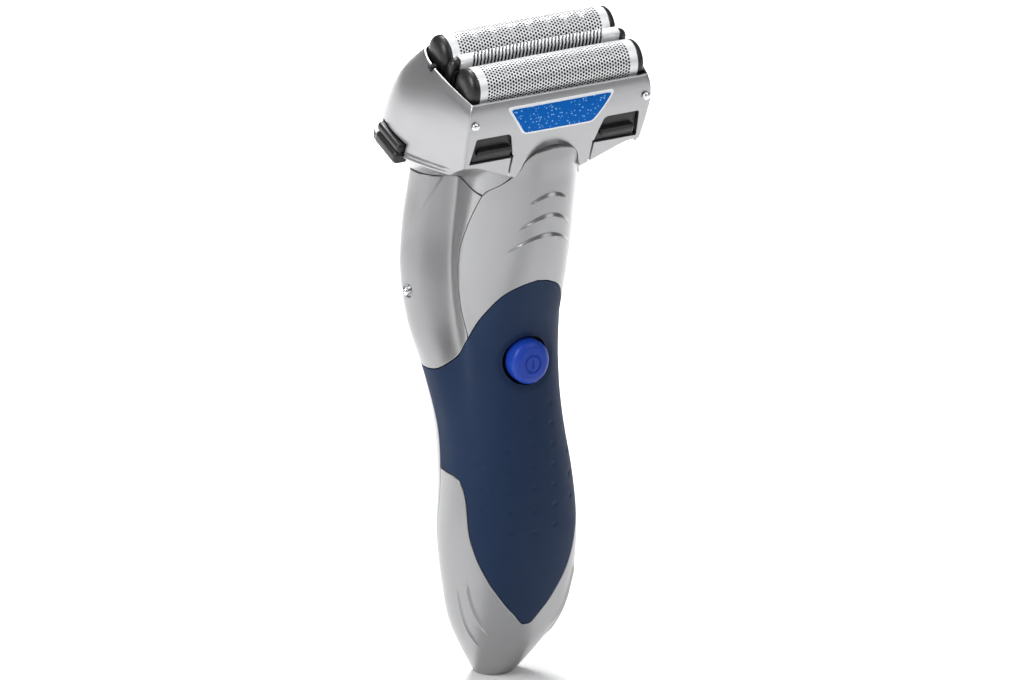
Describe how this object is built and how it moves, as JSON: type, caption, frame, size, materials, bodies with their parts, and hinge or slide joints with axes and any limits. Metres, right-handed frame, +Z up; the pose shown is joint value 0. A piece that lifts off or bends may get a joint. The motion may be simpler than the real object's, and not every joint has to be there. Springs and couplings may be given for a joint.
{
  "type": "foil shaver",
  "caption": "Cordless hand-held foil shaver with a pitched floating head, lift-off foil frame, pop-up rear trimmer and a soft-grip handle with a push button.",
  "frame": {"origin": "middle of the bounding box, at the foot of the handle", "axes": "+Z up the handle, -Y the front with the power button and the foils' lean, +X the right hand side seen from behind the front face"},
  "size_m": [0.0598, 0.0471, 0.1596],
  "materials": {
    "silver": "satin silver metallic paint",
    "silver_head": "satin silver metallic paint",
    "navy": "matt soft-touch elastomer",
    "blue": "semi-gloss moulded plastic",
    "black": "satin moulded plastic",
    "rubber": "matt",
    "steel": "fine brushed",
    "foil": "bright perforated sheet",
    "chrome": "polished",
    "badge_white": "gloss printed film",
    "badge_blue": "gloss printed film",
    "inner_white": "moulded engineering plastic",
    "board": "lacquered laminate",
    "cell": "shrink sleeve",
    "brass": "plated"
  },
  "bodies": {
    "housing": {"front_panel": "silver", "side_panel_left": "silver", "side_pin_left": "chrome", "side_panel_right": "silver", "side_pin_right": "chrome", "front_grip": "navy", "lower_cover": "silver", "rear_cover": "silver", "rear_screw_upper": "steel", "rear_screw_lower": "steel", "battery_cell": "cell", "battery_tab_foot": "brass", "battery_tab_top": "brass", "motor_can": "steel", "motor_end_bell": "black", "chassis": "inner_white", "circuit_board": "board", "tact_switch": "black", "appliance_socket": "black", "socket_pin_left": "brass", "socket_pin_right": "brass", "button_membrane": "rubber", "neck_gasket": "rubber", "neck_collar": "silver", "diaphragm_seal": "rubber"},
    "power_key": {"power_button": "blue"},
    "rotor": {"motor_shaft": "steel", "eccentric_cam": "black"},
    "drive": {"oscillator": "inner_white"},
    "inner_front": {"blade_front": "steel"},
    "inner_centre": {"blade_centre": "steel"},
    "inner_back": {"blade_back": "steel"},
    "head_cover": {"foil_frame": "silver_head", "foil_cassette": "black", "badge_plate": "badge_white", "badge_field": "badge_blue", "frame_rivet_left": "chrome", "frame_rivet_right": "chrome"},
    "outer_front": {"foil_front": "foil", "cap_front_left": "black", "cap_front_right": "black"},
    "outer_centre": {"foil_centre": "foil", "cap_centre_left": "black", "cap_centre_right": "black"},
    "outer_back": {"foil_back": "foil", "cap_back_left": "black", "cap_back_right": "black"},
    "catch_left": {"foil_catch_left": "black"},
    "catch_right": {"foil_catch_right": "black"},
    "release_left": {"frame_release_left": "black"},
    "release_right": {"frame_release_right": "black"},
    "trimmer": {"trimmer_slide": "silver", "trimmer_comb": "steel"},
    "trimmer_blade": {"trimmer_cutter": "steel"}
  },
  "joints": [
    {"name": "power_button_press", "type": "slide", "parent": "housing", "child": "power_key", "axis": [0, 1, 0], "range_m": [0, 0.0008], "stiffness_N_per_m": 900},
    {"name": "motor_shaft_spin", "type": "hinge", "parent": "housing", "child": "rotor", "pos_m": [0, 0.00395, 0.12], "axis": [0, 0, 1], "continuous": true},
    {"name": "oscillator_slide", "type": "slide", "parent": "housing", "child": "drive", "axis": [1, 0, 0], "range_m": [-0.0006, 0.0006], "stiffness_N_per_m": 600},
    {"name": "frame_lift", "type": "slide", "parent": "housing", "child": "head_cover", "axis": [0, -0.3007, 0.9537], "range_m": [0, 0.02]},
    {"name": "foil_front_float", "type": "slide", "parent": "head_cover", "child": "outer_front", "axis": [0, -0.3007, 0.9537], "range_m": [-0.0015, 0], "stiffness_N_per_m": 500},
    {"name": "foil_centre_float", "type": "slide", "parent": "head_cover", "child": "outer_centre", "axis": [0, -0.3007, 0.9537], "range_m": [-0.0015, 0], "stiffness_N_per_m": 500},
    {"name": "foil_back_float", "type": "slide", "parent": "head_cover", "child": "outer_back", "axis": [0, -0.3007, 0.9537], "range_m": [-0.0015, 0], "stiffness_N_per_m": 500},
    {"name": "blade_front_float", "type": "slide", "parent": "drive", "child": "inner_front", "axis": [0, -0.3007, 0.9537], "range_m": [-0.0015, 0]},
    {"name": "blade_centre_float", "type": "slide", "parent": "drive", "child": "inner_centre", "axis": [0, -0.3007, 0.9537], "range_m": [-0.0015, 0]},
    {"name": "blade_back_float", "type": "slide", "parent": "drive", "child": "inner_back", "axis": [0, -0.3007, 0.9537], "range_m": [-0.0015, 0]},
    {"name": "foil_catch_left_press", "type": "slide", "parent": "head_cover", "child": "catch_left", "axis": [1, 0, 0], "range_m": [0, 0.0008], "stiffness_N_per_m": 700},
    {"name": "foil_catch_right_press", "type": "slide", "parent": "head_cover", "child": "catch_right", "axis": [-1, 0, 0], "range_m": [0, 0.0008], "stiffness_N_per_m": 700},
    {"name": "frame_release_left_press", "type": "slide", "parent": "housing", "child": "release_left", "axis": [1, 0, 0], "range_m": [0, 0.0012], "stiffness_N_per_m": 900},
    {"name": "frame_release_right_press", "type": "slide", "parent": "housing", "child": "release_right", "axis": [-1, 0, 0], "range_m": [0, 0.0012], "stiffness_N_per_m": 900},
    {"name": "trimmer_slide_up", "type": "slide", "parent": "housing", "child": "trimmer", "axis": [0, 0, 1], "range_m": [0, 0.011]},
    {"name": "trimmer_cutter_run", "type": "slide", "parent": "trimmer", "child": "trimmer_blade", "axis": [1, 0, 0], "range_m": [-0.0007, 0.0007], "stiffness_N_per_m": 300}
  ],
  "couplings": [
    {"joint": "blade_front_float", "follows": "foil_front_float", "ratio": 1},
    {"joint": "blade_centre_float", "follows": "foil_centre_float", "ratio": 1},
    {"joint": "blade_back_float", "follows": "foil_back_float", "ratio": 1}
  ]
}
